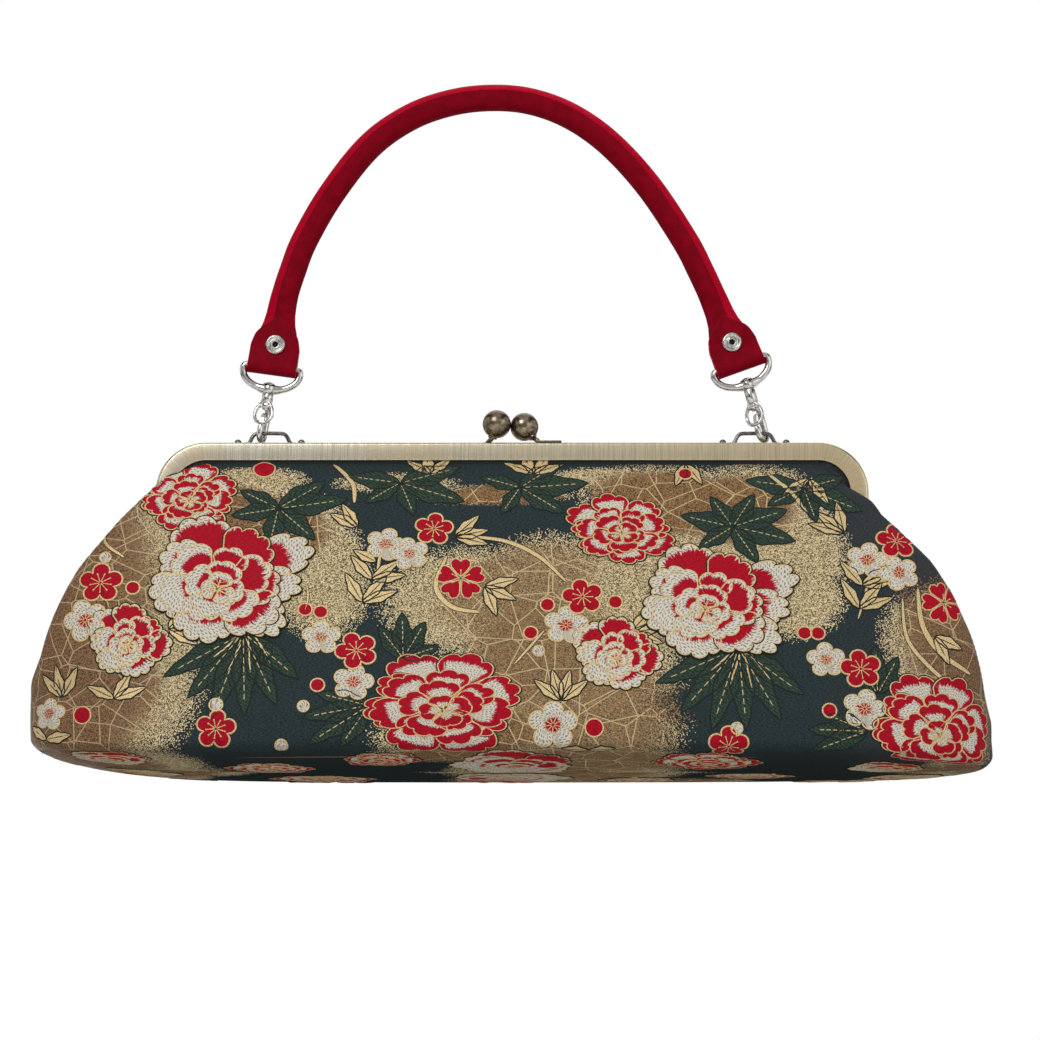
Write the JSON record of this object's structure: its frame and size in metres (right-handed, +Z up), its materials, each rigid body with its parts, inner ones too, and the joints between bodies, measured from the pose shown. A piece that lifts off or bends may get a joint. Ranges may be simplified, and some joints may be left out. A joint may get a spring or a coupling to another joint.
{
  "type": "kiss lock handbag",
  "caption": "Wide brocade handbag hung in a hinged metal purse frame, with crossing ball clasps and an arched leather handle on swivel snap hooks.",
  "frame": {"origin": "middle of the bag's flat base, on the surface it stands on", "axes": "+X to the right along the frame, -Y towards the front, +Z up through the clasps"},
  "size_m": [0.351, 0.091, 0.267],
  "materials": {
    "antique_brass": "brushed antique brass under lacquer",
    "dark_brass": "polished, dark antique",
    "brocade": "gold and teal floral brocade, woven",
    "lining_cloth": "plain weave",
    "board": "grey-brown fibre board",
    "paper_cord": "twisted paper",
    "nickel": "polished nickel plate",
    "red_leather": "crimson, fine grain, semi-gloss"
  },
  "bodies": {
    "bag": {"back_frame": "antique_brass", "left_hinge_rivet": "antique_brass", "right_hinge_rivet": "antique_brass", "brocade_body": "brocade", "lining": "lining_cloth", "base_board": "board", "back_paper_cord": "paper_cord", "back_clasp_stem": "dark_brass", "back_clasp_ball": "dark_brass", "left_loop": "nickel", "right_loop": "nickel", "left_loop_outer_rivet": "nickel", "left_loop_inner_rivet": "nickel", "right_loop_outer_rivet": "nickel", "right_loop_inner_rivet": "nickel"},
    "front_half": {"front_frame": "antique_brass", "front_paper_cord": "paper_cord", "front_clasp_stem": "dark_brass", "front_clasp_ball": "dark_brass"},
    "handle": {"handle_strap": "red_leather", "left_strap_rivet": "nickel", "right_strap_rivet": "nickel", "left_ring": "nickel", "right_ring": "nickel"},
    "left_swivel": {"left_hook": "nickel", "left_gate_pin": "nickel", "left_gate_spring": "nickel"},
    "right_swivel": {"right_hook": "nickel", "right_gate_pin": "nickel", "right_gate_spring": "nickel"},
    "left_latch": {"left_gate": "nickel"},
    "right_latch": {"right_gate": "nickel"}
  },
  "joints": [
    {"name": "frame_hinge", "type": "hinge", "parent": "bag", "child": "front_half", "pos_m": [0, 0, 0.065], "axis": [1, 0, 0], "range_deg": [0, 55], "deforming": ["brocade_body", "lining"]},
    {"name": "handle_swing", "type": "hinge", "parent": "bag", "child": "handle", "pos_m": [0, 0.0031, 0.13], "axis": [-1, 0, 0], "range_deg": [-95, 95]},
    {"name": "left_hook_swivel", "type": "hinge", "parent": "handle", "child": "left_swivel", "pos_m": [-0.0955, 0.0031, 0.13], "axis": [0.1392, 0, 0.9903], "range_deg": [-22, 50]},
    {"name": "right_hook_swivel", "type": "hinge", "parent": "handle", "child": "right_swivel", "pos_m": [0.0955, 0.0031, 0.13], "axis": [-0.2756, 0, 0.9613], "range_deg": [-3, 70]},
    {"name": "left_gate_pivot", "type": "hinge", "parent": "left_swivel", "child": "left_latch", "pos_m": [-0.09428, 0.00213, 0.14053], "axis": [0.9565, -0.2588, -0.1344], "range_deg": [0, 20], "stiffness_Nm_per_rad": 0.002, "springref_deg": -17.19, "deforming": ["left_gate_spring"]},
    {"name": "right_gate_pivot", "type": "hinge", "parent": "right_swivel", "child": "right_latch", "pos_m": [0.09203, 0.00228, 0.14003], "axis": [0.7874, -0.5736, 0.2258], "range_deg": [0, 20], "stiffness_Nm_per_rad": 0.002, "springref_deg": -17.19, "deforming": ["right_gate_spring"]}
  ]
}
